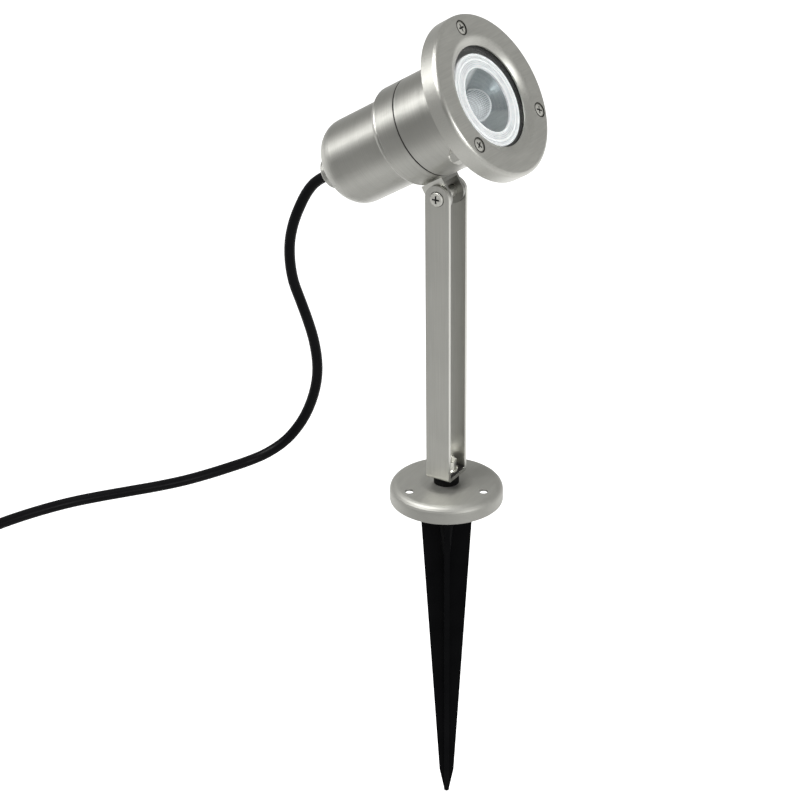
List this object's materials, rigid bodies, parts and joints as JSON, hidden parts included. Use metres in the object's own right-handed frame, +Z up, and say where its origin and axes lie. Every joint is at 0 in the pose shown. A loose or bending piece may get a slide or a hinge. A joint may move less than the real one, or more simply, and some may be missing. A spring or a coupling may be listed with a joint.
{
  "type": "garden spotlight on a ground spike",
  "caption": "Stainless steel garden spotlight with a tilting round head on a U bracket, a round base, a black ground spike and a rubber cable with a plug.",
  "frame": {"origin": "on the base's axis, at ground level: the plane of the base's lower rim, where the spike enters the soil", "axes": "+Z up along the spike and bracket; X along the tilt hinge; the lamp shines towards -Y and up at rest"},
  "size_m": [0.2714, 0.3371, 0.474],
  "materials": {
    "stainless": "brushed stainless steel, satin",
    "fasteners": "bright stainless steel",
    "spike_plastic": "black moulded plastic, satin",
    "black_rubber": "black rubber, matte",
    "cable_rubber": "black rubber sheath, satin",
    "plug_rubber": "black moulded rubber, matte",
    "plug_metal": "nickel plated brass",
    "window_glass": "clear flat glass",
    "lamp_white": "white plastic, satin",
    "lamp_frosted": "frosted clear plastic with fine rings",
    "lamp_mirror": "metallised reflector, soft mirror",
    "lamp_emitter": "white diffuser with fine dots",
    "ceramic": "glazed ceramic",
    "lead_insulation": "insulated leads"
  },
  "bodies": {
    "base": {"ground_spike": "spike_plastic", "spike_nut": "fasteners", "base_disc": "stainless", "pivot_stud": "fasteners", "pivot_spacer": "black_rubber", "pivot_washer": "fasteners", "pivot_nut": "fasteners"},
    "stem": {"u_bracket": "stainless", "pivot_pad": "black_rubber", "hinge_screws": "fasteners", "hinge_sleeve": "fasteners", "cable_run": "cable_rubber", "cable_coil": "cable_rubber", "cable_tie": "cable_rubber", "cable_lead": "cable_rubber", "plug_body": "plug_rubber", "plug_pins": "plug_metal", "plug_earth_clips": "plug_metal"},
    "head": {"tilt_carrier": "stainless", "bezel_ring": "stainless", "bezel_screws": "fasteners", "bezel_nuts": "fasteners", "glass_gasket": "black_rubber", "glass_window": "window_glass", "glass_seat": "black_rubber", "front_barrel": "stainless", "sealing_ring": "black_rubber", "rear_can": "stainless", "gland_cap": "stainless", "gland_stem": "stainless", "gland_seal": "black_rubber", "gland_locknut": "fasteners", "lamp_housing": "lamp_white", "lamp_lens_ring": "lamp_frosted", "lamp_reflector": "lamp_mirror", "lamp_emitter": "lamp_emitter", "lamp_pins": "plug_metal", "lamp_holder": "ceramic", "holder_strap": "stainless", "holder_screws": "fasteners", "cable_core": "cable_rubber", "inner_leads": "lead_insulation"}
  },
  "joints": [
    {"name": "pan", "type": "hinge", "parent": "base", "child": "stem", "pos_m": [0, 0, 0.0145], "axis": [0, 0, 1], "range_deg": [-170, 170]},
    {"name": "tilt", "type": "hinge", "parent": "stem", "child": "head", "pos_m": [0, 0, 0.179], "axis": [-1, 0, 0], "range_deg": [-90, 58], "deforming": ["cable_run"]}
  ]
}
